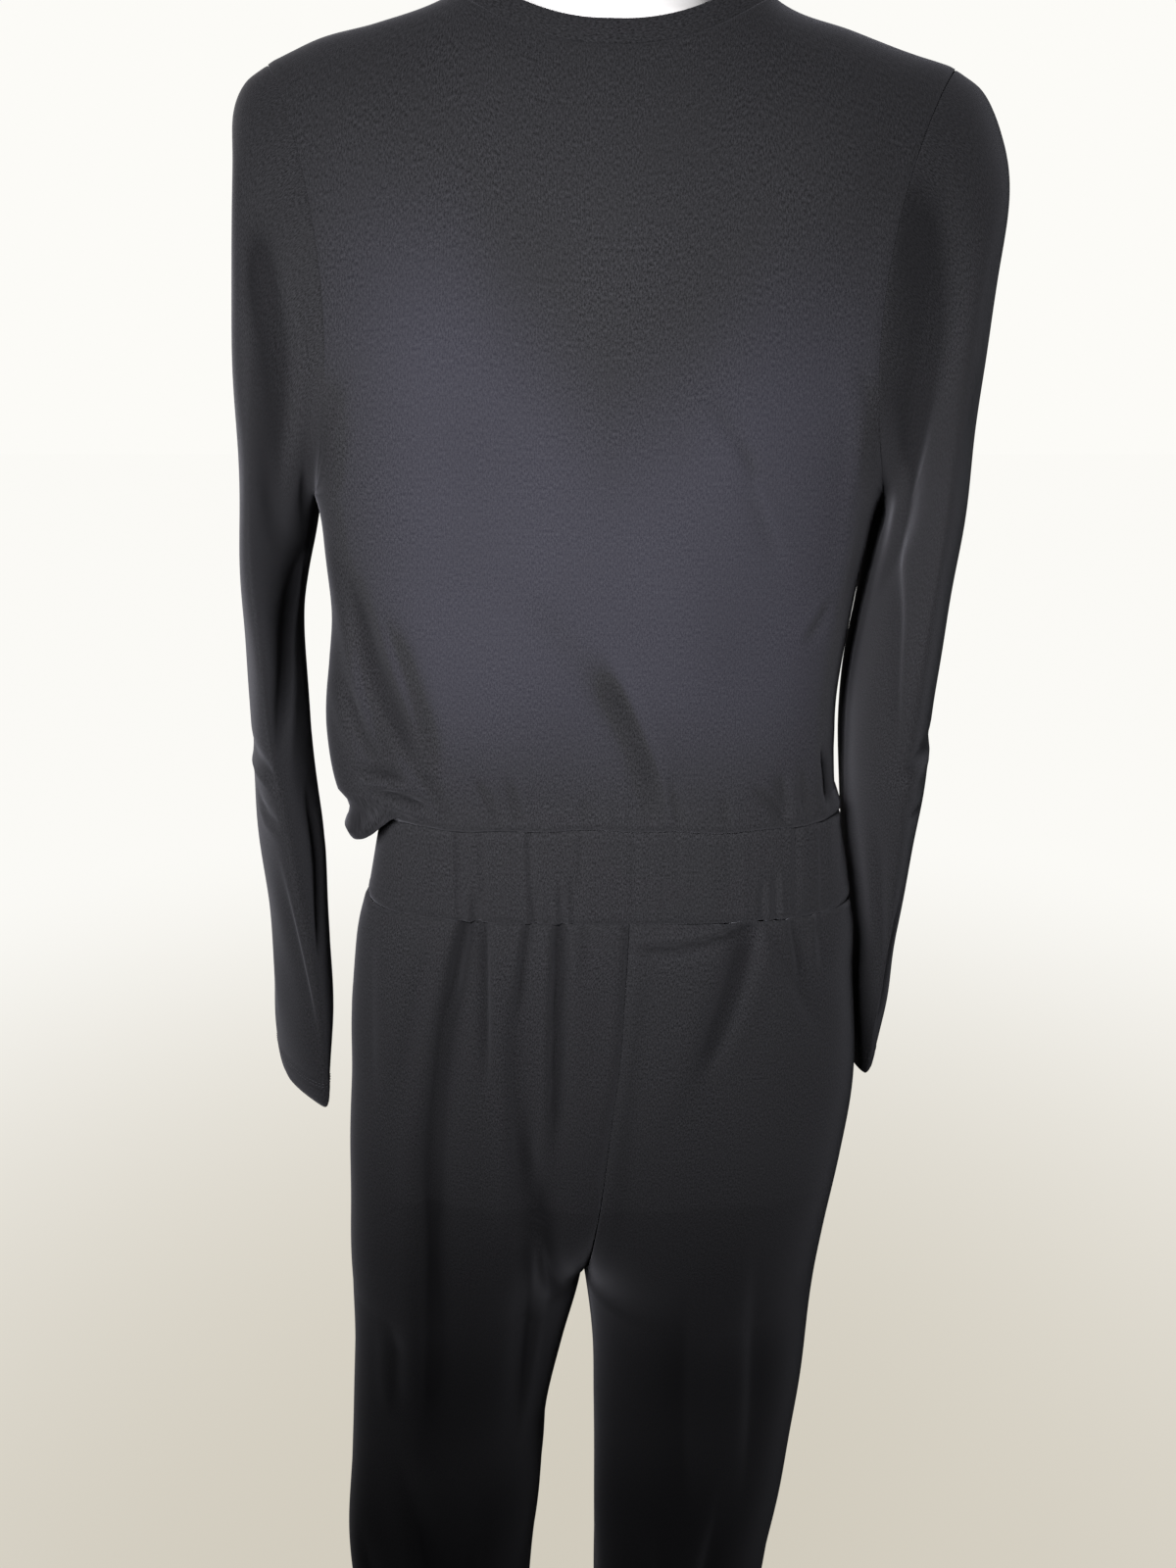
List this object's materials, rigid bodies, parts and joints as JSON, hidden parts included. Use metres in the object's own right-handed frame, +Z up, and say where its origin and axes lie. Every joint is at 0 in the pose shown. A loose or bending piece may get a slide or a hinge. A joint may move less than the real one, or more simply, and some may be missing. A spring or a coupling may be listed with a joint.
{
  "type": "jumpsuit on a limbless dress form",
  "caption": "Black jersey jumpsuit with long sleeves, V neck, ruched waistband and straight legs, on a limbless white dress form with a pole and a round base.",
  "frame": {"origin": "centre of the round base's underside, on the pole's axis", "axes": "+Z up along the pole; the garment's front faces -Y, its back +Y, and the wearer's left is +X"},
  "size_m": [0.4603, 0.34, 1.568],
  "materials": {
    "jersey": "matte black brushed jersey with a soft nap",
    "form_skin": "satin white moulded skin",
    "steel": "brushed",
    "enamel": "white enamel"
  },
  "bodies": {
    "root": {"bodice_back": "jersey", "bodice_front": "jersey", "neckband": "jersey", "sleeve_left": "jersey", "sleeve_right": "jersey", "waistband_back": "jersey", "waistband_front": "jersey", "leg_back_left": "jersey", "leg_back_right": "jersey", "leg_front_left": "jersey", "leg_front_right": "jersey", "form_torso": "form_skin", "stand_pole": "steel", "stand_socket": "steel", "stand_base": "enamel"}
  },
  "joints": []
}
